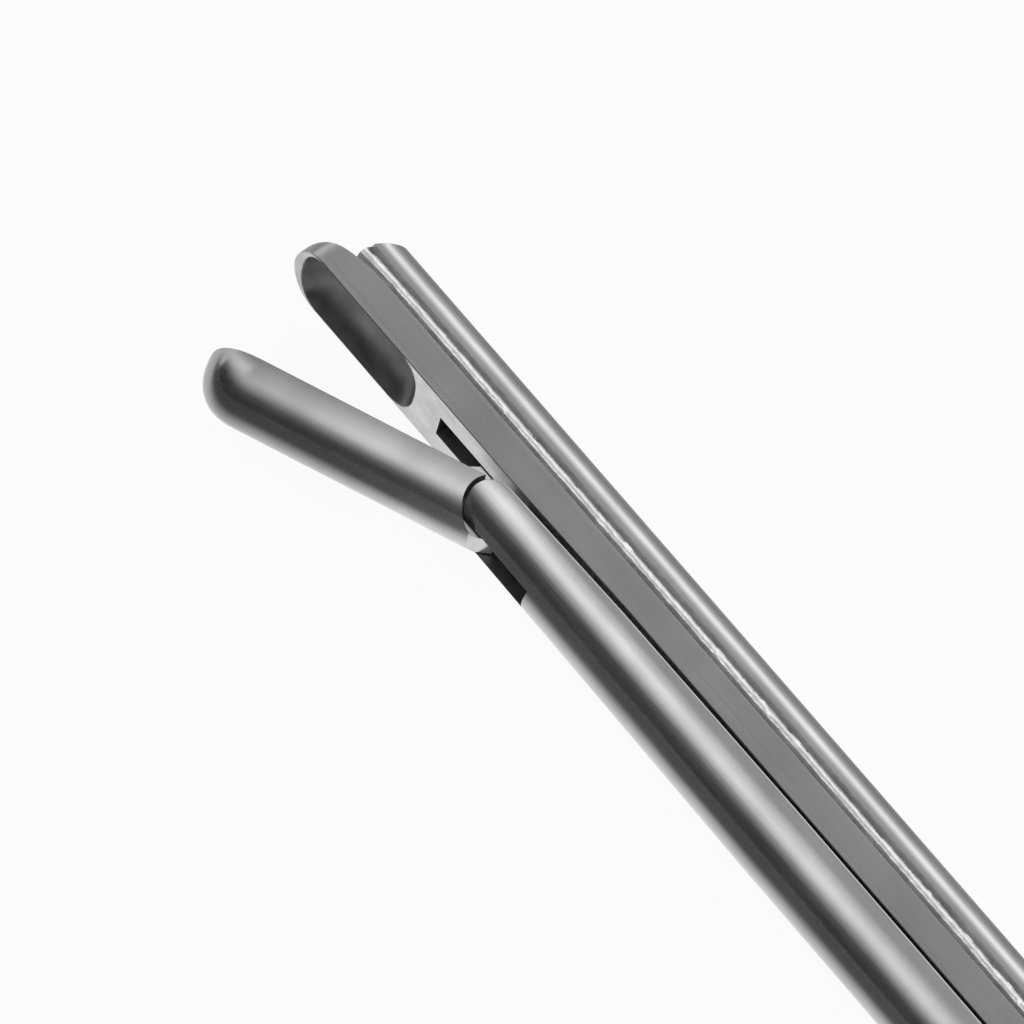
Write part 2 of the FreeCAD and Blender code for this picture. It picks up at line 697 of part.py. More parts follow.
def tube_end():
    """The ferrule and the ribbed hose nipple on the tail of the suction tube."""
    ferrule = new_body("tube_ferrule", tube_turn_x, tube_end_y + dim.nipple_seat_depth)
    profile = new_sketch(ferrule, "ferrule_profile", "XY_Plane")
    inner = tube_radius + dim.seat_fit
    outer = inner + dim.ferrule_wall
    shoulder = dim.ferrule_length - dim.ferrule_wall
    draw(profile, [(inner, 0), (outer, 0), (outer, shoulder), (inner, dim.ferrule_length)])
    turned(ferrule, profile, 360, "V_Axis")
    nipple = new_body("hose_nipple", tube_turn_x, tube_end_y + dim.nipple_seat_depth)
    profile = new_sketch(nipple, "nipple_profile", "XY_Plane")
    collar = dim.nipple_collar_diameter / 2
    outside = dim.nipple_diameter / 2
    low = outside - dim.nipple_groove
    base = -dim.nipple_collar_length - dim.nipple_length
    bore = dim.nipple_bore / 2
    corners = [
        (inner, 0), (inner, -dim.nipple_seat_depth), (bore, -dim.nipple_seat_depth), (bore, base),
        (outside - dim.nipple_lead, base), (outside, base + dim.nipple_lead)]
    for groove in (1, 2):
        near = base + groove * dim.nipple_groove_pitch
        past = near + dim.nipple_groove_width
        corners += [(outside, near), (low, near), (low, past), (outside, past)]
    corners += [
        (outside, -dim.nipple_collar_length), (collar, -dim.nipple_collar_length), (collar, 0)]
    draw(profile, corners)
    turned(nipple, profile, 360, "V_Axis")


def shank_section(body, name, angle, reach, side_shift, half_across, half_deep):
    """A bevelled section of a shank, square to the ray from the pivot at this angle."""
    x = reach * cosine(angle) - side_shift * sine(angle)
    y = reach * sine(angle) + side_shift * cosine(angle)
    sketch = new_sketch(body, name, "YZ_Plane", (y, 0.0, x), angle, (0, 1, 0))
    return bevelled(sketch, half_across, half_deep, dim.shank_bevel)


def bevelled(sketch, half_across, half_deep, bevel):
    """A rectangle about the sketch's origin with its four corners cut off."""
    inner_across = half_across - bevel
    inner_deep = half_deep - bevel
    return draw(sketch, [
        (-inner_across, -half_deep), (inner_across, -half_deep), (half_across, -inner_deep),
        (half_across, inner_deep), (inner_across, half_deep), (-inner_across, half_deep),
        (-half_across, inner_deep), (-half_across, -inner_deep)])


def shank_and_ring(body, name, angle, root_reach, reach, root_across, bow):
    """A tapered, gently bowed shank and the oval ring at its end."""
    long_half = (dim.ring_inner_length + dim.ring_wire) / 2
    short_half = (dim.ring_inner_width + dim.ring_wire) / 2
    end_round = dim.ring_end_round
    half_deep = dim.handle_thickness / 2
    ring_top = reach - long_half
    middle = (root_reach + ring_top) / 2
    loft(body, [
        shank_section(body, name + "_root", angle, root_reach, 0.0, root_across / 2, half_deep),
        shank_section(body, name + "_middle", angle, middle, bow, dim.shank_width / 2, half_deep),
        shank_section(body, name + "_end", angle, ring_top, 0.0, dim.shank_end_width / 2, half_deep)])
    centre_x = reach * cosine(angle)
    centre_y = reach * sine(angle)
    path = new_sketch(body, name + "_ring_path", "XY_Plane", (centre_x, centre_y, 0.0), angle)
    join_x, join_y, side_round = oval_quarter(long_half, short_half, end_round)
    draw(path, [
        (long_half, 0, end_round), (join_x, join_y, end_round), (-join_x, join_y, side_round),
        (-join_x, -join_y, end_round), (join_x, -join_y, side_round)])
    wire = new_sketch(body, name + "_ring_wire", "XZ_Plane",
                      (centre_x + long_half * cosine(angle), 0.0, -(centre_y + long_half * sine(angle))),
                      angle, (0, 1, 0))
    bevelled(wire, dim.ring_wire / 2, half_deep, dim.ring_bevel)
    sweep = body.newObject("PartDesign::AdditivePipe", name + "_ring")
    sweep.Profile = wire
    sweep.Spine = (path, [])
    path.Visibility = False
    wire.Visibility = False


def polar(reach, angle):
    return reach * cosine(angle), reach * sine(angle)


def fixed_handle():
    """The block that carries the shaft and the pivot, with its shank and the thumb ring."""
    body = new_body("fixed_handle", 0.0, 0.0)
    ray_x, ray_y = polar(dim.thumb_root_reach, dim.thumb_angle)
    across_x, across_y = polar(dim.root_width / 2, dim.thumb_angle + 90)
    boss_start_x, boss_start_y = polar(dim.block_boss, dim.boss_start_angle)
    boss_end_x, boss_end_y = polar(dim.block_boss, dim.boss_end_angle)
    side = new_sketch(body, "block_side", "XY_Plane")
    rear_low = dim.mating_height - dim.block_rear_height
    draw(side, [
        (-dim.block_rear_reach, dim.mating_height), (-dim.block_rear_reach, rear_low),
        (ray_x - across_x, ray_y - across_y, dim.block_rear_round), (ray_x + across_x, ray_y + across_y),
        (boss_start_x, boss_start_y), (boss_end_x, boss_end_y, dim.block_boss),
        (dim.block_front_reach, dim.mating_height - dim.block_front_height, -dim.block_under_round),
        (dim.block_front_reach, dim.mating_height)])
    pad(body, side, dim.handle_thickness)
    channel = new_sketch(body, "bar_channel", "YZ_Plane")
    bed = dim.mating_height - dim.bar_thickness - dim.channel_play
    wall = half_width + dim.channel_play
    above = dim.mating_height + dim.bar_thickness
    draw(channel, [(bed, -wall), (above, -wall), (above, wall), (bed, wall)])
    pocket(body, channel)
    gap = new_sketch(body, "lever_gap", "XY_Plane")
    reach = dim.lever_boss + dim.lever_slot_play
    outside = 2 * dim.block_boss
    draw(gap, [(-reach, -outside), (reach, -outside), (reach, outside), (-reach, outside)])
    pocket(body, gap, lever_slot_width)
    head_bed = mid_height - dim.screw_recess - dim.screw_head_height
    for name, bed, radius in (("bore", dim.screw_floor - mid_height, dim.screw_diameter / 2 + dim.pin_fit),
                              ("seat", head_bed, dim.screw_head_diameter / 2 + dim.pin_play)):
        hole = new_sketch(body, "pivot_" + name, "XY_Plane", (0.0, 0.0, bed))
        draw_circle(hole, 0, 0, radius)
        pocket(body, hole, dim.handle_thickness, False, True)
    for name, x in (("front", dim.rivet_front_reach), ("rear", -dim.rivet_rear_reach)):
        hole = new_sketch(body, "block_rivet_hole_" + name, "XY_Plane")
        bar_middle = dim.mating_height - dim.bar_thickness / 2
        draw_circle(hole, x, bar_middle, dim.rivet_diameter / 2 + dim.pin_fit)
        pocket(body, hole)
    shank_and_ring(body, "thumb", dim.thumb_angle, dim.thumb_root_reach, dim.thumb_reach,
                   dim.root_width, -dim.shank_bow)


def moving_handle():
    """The lever that drives the slide, with its shank and the finger ring."""
    body = new_body("moving_handle", 0.0, 0.0, mid_height, lever_rest_angle)
    disc = dim.lever_boss / root(2.0)
    tongue = new_sketch(body, "lever_tongue", "XY_Plane")
    foot = dim.finger_root_reach + dim.lever_slot_play
    half_root = dim.finger_root_width / 2
    draw(tongue, [
        (dim.lever_end, lever_arm), (0, lever_arm + dim.lever_end, dim.lever_end),
        (-dim.lever_end, lever_arm, dim.lever_end), (-disc, disc), (-disc, -disc, dim.lever_boss),
        (-half_root, -foot), (half_root, -foot), (disc, -disc), (disc, disc, dim.lever_boss)])
    pad(body, tongue, dim.lever_thickness)
    bore = new_sketch(body, "lever_bore", "XY_Plane")
    draw_circle(bore, 0, 0, dim.screw_diameter / 2 + dim.pin_play)
    pocket(body, bore)
    slot = new_sketch(body, "lever_pin_slot", "XY_Plane")
    half = dim.lever_pin_diameter / 2 + dim.pin_play
    obround(slot, lever_arm - half - dim.pin_play, lever_arm + half + 2 * dim.pin_play, half, True)
    pocket(body, slot)
    shank_and_ring(body, "finger", dim.finger_angle, dim.finger_root_reach, dim.finger_reach,
                   dim.finger_root_width, dim.shank_bow)


def handle_pivot():
    """The slotted screw that the lever turns on."""
    radius = dim.screw_diameter / 2
    head = dim.screw_head_diameter / 2
    screw = new_body("pivot_screw", 0.0, 0.0)
    profile = new_sketch(screw, "screw_profile", "YZ_Plane")
    top = mid_height - dim.screw_recess
    bottom = dim.screw_floor + dim.pin_recess - mid_height
    draw(profile, [(0, bottom), (radius, bottom), (radius, top - dim.screw_head_height),
                   (head, top - dim.screw_head_height), (head, top), (0, top)])
    turned(screw, profile, 360, "V_Axis")
    slot = new_sketch(screw, "driver_slot", "XY_Plane", (0.0, 0.0, top - dim.driver_slot_depth))
    half_slot = dim.driver_slot_width / 2
    draw(slot, [(-head, -half_slot), (head, -half_slot), (head, half_slot), (-head, half_slot)])
    pocket(screw, slot, dim.screw_head_height, False, True)


fixed_shaft()
moving_jaw()
slide_shaft()
guide_studs()
cross_pins()
suction_tube()
braze_seams()
tube_end()
fixed_handle()
moving_handle()
handle_pivot()
document.recompute()

for item in document.Objects:
    if item.TypeId == "Part::Cylinder":
        nodes.append(item)
    if "Invalid" in item.State or "Error" in item.State:
        raise RuntimeError("not made: " + item.Name + " " + str(item.State))
for node in nodes:
    if node.Shape.isNull() or not node.Shape.isValid():
        raise RuntimeError("no sound shape: " + node.Label)

os.makedirs("parts", exist_ok=True)
for node in nodes:
    node.Shape.exportStep("parts/" + node.Label + ".step")
    box = node.Shape.BoundBox
    print(node.Label, len(node.Shape.Solids), round(node.Shape.Volume, 3),
          [round(v, 2) for v in (box.XMin, box.YMin, box.ZMin, box.XMax, box.YMax, box.ZMax)])
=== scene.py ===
import json
import math

import bmesh
import bpy
import numpy as np
from mathutils import Matrix, Vector


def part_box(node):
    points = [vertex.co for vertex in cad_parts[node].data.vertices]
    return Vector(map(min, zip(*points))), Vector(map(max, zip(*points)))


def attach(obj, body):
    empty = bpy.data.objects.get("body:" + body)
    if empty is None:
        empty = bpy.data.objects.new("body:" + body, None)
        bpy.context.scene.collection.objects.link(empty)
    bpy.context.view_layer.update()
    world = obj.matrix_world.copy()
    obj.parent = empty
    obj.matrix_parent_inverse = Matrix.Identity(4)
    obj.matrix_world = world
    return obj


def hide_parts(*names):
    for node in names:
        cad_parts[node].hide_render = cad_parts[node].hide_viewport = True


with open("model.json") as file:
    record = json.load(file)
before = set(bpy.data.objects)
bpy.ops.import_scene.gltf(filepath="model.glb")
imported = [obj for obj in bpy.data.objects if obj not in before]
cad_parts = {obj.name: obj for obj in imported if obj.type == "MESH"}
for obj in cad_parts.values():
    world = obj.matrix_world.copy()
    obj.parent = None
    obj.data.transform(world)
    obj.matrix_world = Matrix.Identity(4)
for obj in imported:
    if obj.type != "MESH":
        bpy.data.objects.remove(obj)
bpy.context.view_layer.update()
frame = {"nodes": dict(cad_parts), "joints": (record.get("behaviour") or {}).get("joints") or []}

mm = 0.001
scene = bpy.context.scene
scene.view_settings.view_transform = "Standard"

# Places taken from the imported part, in millimetres
shaftLow, shaftHigh = [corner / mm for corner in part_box("fixed_shaft")]
tipX = shaftHigh.x
mateY = shaftHigh.y          # the plane where bar and slide meet
midZ = (shaftLow.z + shaftHigh.z) / 2
halfWidth = (shaftHigh.z - shaftLow.z) / 2
barThickness = shaftHigh.y - shaftLow.y
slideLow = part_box("slide_shaft")[0] / mm
tubeLow, tubeHigh = [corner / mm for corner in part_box("suction_tube")]
pinLow, pinHigh = [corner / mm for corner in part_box("jaw_drive_pin")]
driveX = (pinLow.x + pinHigh.x) / 2
joints = {joint["name"]: joint for joint in frame["joints"]}
jawPivot = Vector(joints["jaw_pivot"]["pos_m"]) / mm


# Camera: a long lens close to the tip, from the near side, a little from the handle and the slide
view = {
    "towards": (-0.24, 0.354, 0.904),   # from the jaws to the lens
    "distance": 300,
    "clipStart": 10,
    "tipPixel": (295, 260),             # where the fixed jaw's tip lies in the picture
    "distalInPicture": (-0.6543, 0.7563),   # the way to the tip, right and up
    "pixelsPerMm": 26.0,
    "picture": 1024,
}


def makeCamera():
    towards = Vector(view["towards"]).normalized()
    distal = Vector((1, 0, 0))
    distal = (distal - distal.dot(towards) * towards).normalized()
    across = towards.cross(distal)
    alongRight, alongUp = view["distalInPicture"]
    right = alongRight * distal - alongUp * across
    up = alongUp * distal + alongRight * across
    half = view["picture"] / 2
    perMm = view["pixelsPerMm"]
    tipRight = (view["tipPixel"][0] - half) / perMm
    tipUp = (half - view["tipPixel"][1]) / perMm
    centre = Vector((tipX, mateY, midZ)) - tipRight * right - tipUp * up
    camera = bpy.data.objects.new("camera", bpy.data.cameras.new("camera"))
    scene.collection.objects.link(camera)
    turn = Matrix((right, up, towards)).transposed()
    lens = centre + towards * view["distance"]
    camera.matrix_world = Matrix.Translation(lens * mm) @ turn.to_4x4()
    field = view["picture"] / perMm
    camera.data.sensor_fit = "HORIZONTAL"
    camera.data.angle = 2 * math.atan(field / 2 / view["distance"])
    camera.data.clip_start = view["clipStart"] * mm
    scene.camera = camera


makeCamera()
print("camera set")


# Finishes: each steel has cloudy tone, lengthwise rub marks and its own polish; some are lighter or
# darker copies of a steel that paint a highlight or shade onto chosen faces
finishes = {
    "polishedSteel": {"dark": 0.56, "light": 0.66, "tint": 1.01, "rough": (0.17, 0.27),
                      "rub": (260, 5200), "depth": 0.006, "cloud": 420, "slot": "shaft_steel"},
    "jawSteel": {"dark": 0.53, "light": 0.68, "tint": 1.01, "rough": (0.2, 0.3),
                 "rub": (300, 3200), "depth": 0.004, "cloud": 330, "slot": "shaft_steel",
                 "fade": (0.002, 0.011, 1.22, 0.7)},      # painted light and shade: brighter at its root, darker towards the tip, along X
    "satinSteel": {"dark": 0.41, "light": 0.49, "tint": 1.01, "rough": (0.26, 0.34),
                   "rub": (120, 7000), "depth": 0.008, "cloud": 240, "slot": "shaft_steel"},
    # a lighter copy of the bar's steel: painted highlight on the flat between the cup and the slot
    "flatPaintedHighlight": {"dark": 0.62, "light": 0.84, "tint": 1.0, "rough": (0.24, 0.36),
                  "rub": (900, 2600), "depth": 0.008, "cloud": 900, "slot": "shaft_steel"},
    # a much darker copy of the steel: painted shade inside the cups
    "cupPaintedShade": {"dark": 0.1, "light": 0.23, "tint": 1.0, "rough": (0.3, 0.45),
                   "rub": (500, 1500), "depth": 0.012, "cloud": 500, "slot": "shaft_steel"},
    # a darker copy of the steel: painted shade on the walls of slots, the slide's window and the
    # jaw's root
    "wallPaintedShade": {"dark": 0.14, "light": 0.24, "tint": 1.0, "rough": (0.4, 0.55),
                  "rub": (1500, 1500), "depth": 0.006, "cloud": 700, "slot": "shaft_steel"},
    "tubeSteel": {"dark": 0.58, "light": 0.68, "tint": 1.0, "rough": (0.14, 0.24),
                  "rub": (200, 6000), "depth": 0.005, "cloud": 500, "slot": "tube_steel"},
    "pinSteel": {"dark": 0.50, "light": 0.60, "tint": 1.0, "rough": (0.2, 0.3),
                 "rub": (2500, 2500), "depth": 0.004, "cloud": 600, "slot": "pin_steel"},
    "brazeSilver": {"dark": 0.76, "light": 1.0, "tint": 0.98, "rough": (0.26, 0.42),
                    "rub": (7000, 2600), "depth": 0.014, "cloud": 1800, "slot": "braze"},
    # a darker copy of the braze: painted shade on the fillet that faces away from the bar
    "brazePaintedShade": {"dark": 0.22, "light": 0.38, "tint": 0.98, "rough": (0.3, 0.45),
                   "rub": (3200, 2600), "depth": 0.008, "cloud": 1500, "slot": "braze"},
    "handleSteel": {"dark": 0.52, "light": 0.60, "tint": 1.01, "rough": (0.3, 0.4),
                    "rub": (2200, 2200), "depth": 0.006, "cloud": 90, "slot": "handle_steel"},
}


# What all the steels share: the noise's useful span, its detail, and how strong the rub marks are
steelNoise = {"low": 0.3, "high": 0.7, "rubDetail": 4.0, "cloudDetail": 5.0, "strength": 0.6}


def noise(nodes, links, place, scale, detail):
    node = nodes.new("ShaderNodeTexNoise")
    node.inputs["Scale"].default_value = scale
    node.inputs["Detail"].default_value = detail
    links.new(place, node.inputs["Vector"])
    return node.outputs["Fac"]


def mapRange(nodes, links, value, span):
    node = nodes.new("ShaderNodeMapRange")
    for socket, edge in zip(("From Min", "From Max", "To Min", "To Max"), span):
        node.inputs[socket].default_value = edge
    links.new(value, node.inputs["Value"])
    return node.outputs["Result"]


# paints light and shade by scaling the colour along X
def paintLightAlong(nodes, links, place, colour, fade):
    split = nodes.new("ShaderNodeSeparateXYZ")
    links.new(place, split.inputs["Vector"])
    scale = nodes.new("ShaderNodeVectorMath")
    scale.operation = "SCALE"
    links.new(colour, scale.inputs[0])
    links.new(mapRange(nodes, links, split.outputs["X"], fade), scale.inputs["Scale"])
    return scale.outputs["Vector"]


def makeSteel(name, finish):
    material = bpy.data.materials.new(name)
    material.use_nodes = True
    nodes = material.node_tree.nodes
    links = material.node_tree.links
    shader = nodes["Principled BSDF"]
    shader.inputs["Metallic"].default_value = 1.0
    place = nodes.new("ShaderNodeTexCoord").outputs["Object"]
    stretch = nodes.new("ShaderNodeMapping")
    along, across = finish["rub"]
    stretch.inputs["Scale"].default_value = (along, across, across)
    links.new(place, stretch.inputs["Vector"])
    rub = noise(nodes, links, stretch.outputs["Vector"], 1.0, steelNoise["rubDetail"])
    cloud = noise(nodes, links, place, finish["cloud"], steelNoise["cloudDetail"])
    span = (steelNoise["low"], steelNoise["high"])
    tone = nodes.new("ShaderNodeValToRGB")
    greys = (finish["dark"], finish["light"])
    for element, position, grey in zip(tone.color_ramp.elements, span, greys):
        element.position = position
        element.color = (grey, grey, grey * finish["tint"], 1)
    links.new(cloud, tone.inputs["Fac"])
    colour = tone.outputs["Color"]
    # painted light and shade along X where a finish asks for it
    if "fade" in finish:
        colour = paintLightAlong(nodes, links, place, colour, finish["fade"])
    links.new(colour, shader.inputs["Base Color"])
    links.new(mapRange(nodes, links, rub, span + finish["rough"]), shader.inputs["Roughness"])
    bump = nodes.new("ShaderNodeBump")
    bump.inputs["Strength"].default_value = steelNoise["strength"]
    bump.inputs["Distance"].default_value = finish["depth"] * mm
    links.new(rub, bump.inputs["Height"])
    links.new(bump.outputs["Normal"], shader.inputs["Normal"])
    return material


steels = {name: makeSteel(name, finish) for name, finish in finishes.items()}
print("finishes made")


# Mesh helpers, all in millimetres until a mesh is made
meshing = {
    "sharpAngle": 35,       # degrees between faces that stay an edge
    "mergeReach": 1e-7,     # metres between points that become one
    "slotSteps": 25,        # points on a slot's half circle
    "noseReach": 0.985,     # how far round the quarter circle the last ring of a nose lies
    "noseRings": 40,
}


def newPiece(name, points, faces, finish):
    mesh = bpy.data.meshes.new(name)
    mesh.from_pydata((np.asarray(points) * mm).tolist(), [], faces)
    mesh.materials.append(steels[finish])
    piece = bpy.data.objects.new(name, mesh)
    scene.collection.objects.link(piece)
    tidyFaces(piece)
    return piece


def tidyFaces(piece):
    work = bmesh.new()
    work.from_mesh(piece.data)
    bmesh.ops.remove_doubles(work, verts=work.verts, dist=meshing["mergeReach"])
    bmesh.ops.recalc_face_normals(work, faces=work.faces)
    work.to_mesh(piece.data)
    work.free()
    piece.data.shade_smooth()
    piece.data.set_sharp_from_angle(angle=math.radians(meshing["sharpAngle"]))


def loftPoints(rings):
    rings = np.asarray(rings)          # stations, points round each, three coordinates
    stations, around = rings.shape[:2]
    faces = []
    for station in range(stations - 1):
        low = station * around
        for step in range(around):
            after = (step + 1) % around
            faces.append((low + step, low + after, low + around + after, low + around + step))
    faces.append(tuple(range(around)))
    faces.append(tuple((stations - 1) * around + step for step in reversed(range(around))))
    return rings.reshape(-1, 3), faces


def loftPiece(name, rings, finish):
    points, faces = loftPoints(rings)
    return newPiece(name, points, faces, finish)


def prism(outline, low, high, axis):
    outline = np.asarray(outline)      # two coordinates; axis says which one is added
    rings = []
    for level in (low, high):
        rings.append(np.insert(outline, axis, level, axis=1))
    points, faces = loftPoints(rings)
    return newPiece("tool", points, faces, "polishedSteel")


def arc(centre, radius, start, end, count):
    turn = np.radians(np.linspace(start, end, count))
    return np.stack([centre[0] + radius * np.cos(turn), centre[1] + radius * np.sin(turn)], axis=1)


def circle(centre, radius, count):
    return arc(centre, radius, 0, 360 - 360 / count, count)


def slotTool(start, end, half, low, high):
    steps = meshing["slotSteps"]
    outline = np.vstack([      # seen along Y: round ends, along X
        arc((end - half, midZ), half, -90, 90, steps),
        arc((start + half, midZ), half, 90, 270, steps)])
    return prism(outline, low, high, 1)


def squareTool(start, end, half, low, high):
    outline = [(start, midZ - half), (end, midZ - half), (end, midZ + half), (start, midZ + half)]
    return prism(outline, low, high, 1)


def combine(piece, tool, kind="DIFFERENCE"):
    step = piece.modifiers.new("cut", "BOOLEAN")
    step.operation = kind
    step.solver = "EXACT"
    step.object = tool
    with bpy.context.temp_override(object=piece, active_object=piece):
        bpy.ops.object.modifier_apply(modifier=step.name)
    bpy.data.objects.remove(tool)


def finishPiece(piece, body, finish, *nodes):
    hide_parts(*nodes)
    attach(piece, body)


def scoop(x, z, front, cup):
    half, depth = cup["cupHalf"], cup["cupDepth"]
    end, power = cup["cupEnd"], cup["cupPower"]
    radius = (half * half + depth * depth) / (2 * depth)   # a round-bottomed trough with blunt ends
    front = front - cup["cupStart"]
    back = front - cup["cupLength"]
    past = np.abs(np.clip(x, back + end, front - end) - x) * half / end
    away = (past ** power + np.abs(z) ** power) ** (1 / power)
    drop = np.sqrt(np.maximum(radius ** 2 - away ** 2, 0)) - (radius - depth)
    return (drop + np.sqrt(drop ** 2 + cup["cupLip"] ** 2)) / 2


def dome(reach, length, power=2):
    return max(1 - min(max(reach / length, 0), 1) ** power, 0) ** (1 / power)


def stations(*spans):
    # each span is a start, an end and a number of rings
    return np.unique(np.concatenate([np.linspace(*span) for span in spans]))


def noseStations(start, end):
    turn = np.linspace(0, meshing["noseReach"] * math.pi / 2, meshing["noseRings"])[1:]
    return start + (end - start) * np.sin(turn)


# The flat bar with the fixed jaw
bar = {
    "noseLength": 1.4, "slopeLength": 3.6, "backCorner": 0.02, "edge": 0.03,
    "cupStart": 0.42, "cupLength": 6.8, "cupHalf": 1.94, "cupDepth": 1.0, "cupLip": 0.03,
    "cupEnd": 1.25, "cupPower": 2.5,
    "slotFront": 8.7, "slotBack": 15.5, "slotHalf": 0.725,
    "leverSlotReach": 4.9, "leverSlotHalf": 0.85,
    "relief": 0.13, "reliefStart": 12.5, "reliefEnd": 19.5,
    "faceSteps": 121, "fine": 0.035, "smallest": 0.02, "cupMargin": 0.1,
    "sideSteps": 6, "cornerSteps": 8, "backSteps": 12, "toolAbove": 1,
    # how much of its normal a face turns to Y to count as cup or flat, and at most as wall, where
    # shade or a highlight is painted
    "cupFacing": 0.05, "flatFacing": 0.8, "wallFacing": 0.5, "wallReach": 0.01,
}


def relief(x):
    share = (tipX - x - bar["reliefStart"]) / (bar["reliefEnd"] - bar["reliefStart"])
    return bar["relief"] * min(max(share, 0), 1)      # the flat sinks a little behind the jaw


def barLoop(x):
    wide = halfWidth * dome(x - (tipX - bar["noseLength"]), bar["noseLength"])
    deep = barThickness * dome(x - (tipX - bar["slopeLength"]), bar["slopeLength"])
    wide = max(wide, bar["smallest"])
    deep = max(deep, bar["smallest"])
    edge = min(bar["edge"], wide / 4, deep / 4)
    corner = min(bar["backCorner"], wide / 2, deep / 2)
    z = np.linspace(wide - edge, edge - wide, bar["faceSteps"])
    hollow = scoop(x, z, tipX, bar)
    fade = np.clip((wide - edge - np.abs(z)) / edge, 0, 1)
    flat = mateY - relief(x)
    top = np.stack([flat - hollow * fade, z], axis=1)
    low = mateY - deep
    sideSteps, cornerSteps = bar["sideSteps"], bar["cornerSteps"]
    back = np.vstack([
        np.linspace((flat - edge, -wide), (low + corner, -wide), sideSteps)[:-1],
        arc((low + corner, corner - wide), corner, 270, 180, cornerSteps),
        np.linspace((low, corner - wide), (low, wide - corner), bar["backSteps"])[1:-1],
        arc((low + corner, wide - corner), corner, 180, 90, cornerSteps),
        np.linspace((low + corner, wide), (flat - edge, wide), sideSteps)[1:]])
    loop = np.vstack([top, back])
    return np.column_stack([np.full(len(loop), x), loop[:, 0], midZ + loop[:, 1]])


def makeBar():
    cupEnd = tipX - bar["cupStart"] - bar["cupLength"]
    margin = bar["cupMargin"]
    fineSteps = int((bar["cupLength"] + 2 * margin) / bar["fine"])
    along = stations(
        (shaftLow.x, tipX - bar["reliefEnd"], 60), (tipX - bar["reliefEnd"], cupEnd - margin, 60),
        (cupEnd - margin, tipX - bar["cupStart"], fineSteps))
    along = np.concatenate([along, noseStations(tipX - bar["cupStart"], tipX)])
    piece = loftPiece("barSkin", [barLoop(x) for x in along], "satinSteel")
    below, above = mateY - 2 * barThickness, mateY + bar["toolAbove"]
    slotStart, slotEnd = tipX - bar["slotBack"], tipX - bar["slotFront"]
    combine(piece, squareTool(slotStart, slotEnd, bar["slotHalf"], below, above))
    reach = bar["leverSlotReach"]
    combine(piece, slotTool(-reach, reach, bar["leverSlotHalf"], below, above))
    for finish in ("cupPaintedShade", "flatPaintedHighlight", "wallPaintedShade"):
        piece.data.materials.append(steels[finish])
    floor = mateY - bar["cupLip"]
    for face in piece.data.polygons:
        x, y, z = face.center / mm
        inSlot = abs(z - midZ) < bar["slotHalf"] + bar["wallReach"]
        # painted shade on the faces inside the bar's cup
        if x > cupEnd and y < floor and face.normal.y > bar["cupFacing"]:
            face.material_index = 1
        # painted highlight on the flat faces from the slot to the tip
        elif x > slotStart and face.normal.y > bar["flatFacing"]:
            face.material_index = 2
        # painted shade on the walls of the bar's slot
        elif inSlot and abs(face.normal.y) < bar["wallFacing"] and x < cupEnd:
            face.material_index = 3
    tidyFaces(piece)
    finishPiece(piece, "frame", "satinSteel", "fixed_shaft")


makeBar()
print("bar made")


# The moving jaw, made shut along X and then turned open about its pivot
jaw = {
    "openAngle": 23.5, "length": 12.88, "pivotDrop": 0.93,
    "radius": 2.0, "bluntness": 2.3, "edge": 0.03,
    "cupStart": 0.55, "cupLength": 7.0, "cupHalf": 1.76, "cupDepth": 1.3, "cupLip": 0.03,
    "cupEnd": 1.4, "cupPower": 2.4,
    "driveX": 0.646, "driveY": 0.845, "rootRadius": 1.06, "tongueCrown": 1.9,
    "tongueHalf": 0.625, "boss": 0.55, "keel": 3.3, "sink": 0.2,
    "crownBack": 0.09, "tongueBack": 0.78, "tongueDrop": 0.28, "pinHole": 0.33,
    "faceSteps": 121, "fine": 0.035, "smallest": 0.02, "cupMargin": 0.1,
    "backSteps": 73, "rootSteps": 120, "bossSteps": 16, "pinSteps": 36,
    "loftStart": 0.9, "toolHalf": 3,
    "cupFacing": 0.05, "rootFacing": 0.1, "rootReach": 0.02,
}


def jawLoop(x):
    past = x - (jaw["length"] - jaw["radius"])
    radius = jaw["radius"] * dome(past, jaw["radius"], jaw["bluntness"])
    radius = max(radius, jaw["smallest"])
    edge = min(jaw["edge"], radius / 4)
    z = np.linspace(edge - radius, radius - edge, jaw["faceSteps"])
    hollow = scoop(x, z, jaw["length"], jaw)
    fade = np.clip((radius - edge - np.abs(z)) / edge, 0, 1)
    flat = np.stack([hollow * fade, z], axis=1)
    start = math.degrees(math.asin(edge / radius))
    back = arc((0, 0), radius, 90 - start, start - 90, jaw["backSteps"])
    loop = np.vstack([flat, back])
    return np.column_stack([np.full(len(loop), x), loop[:, 0], loop[:, 1]])


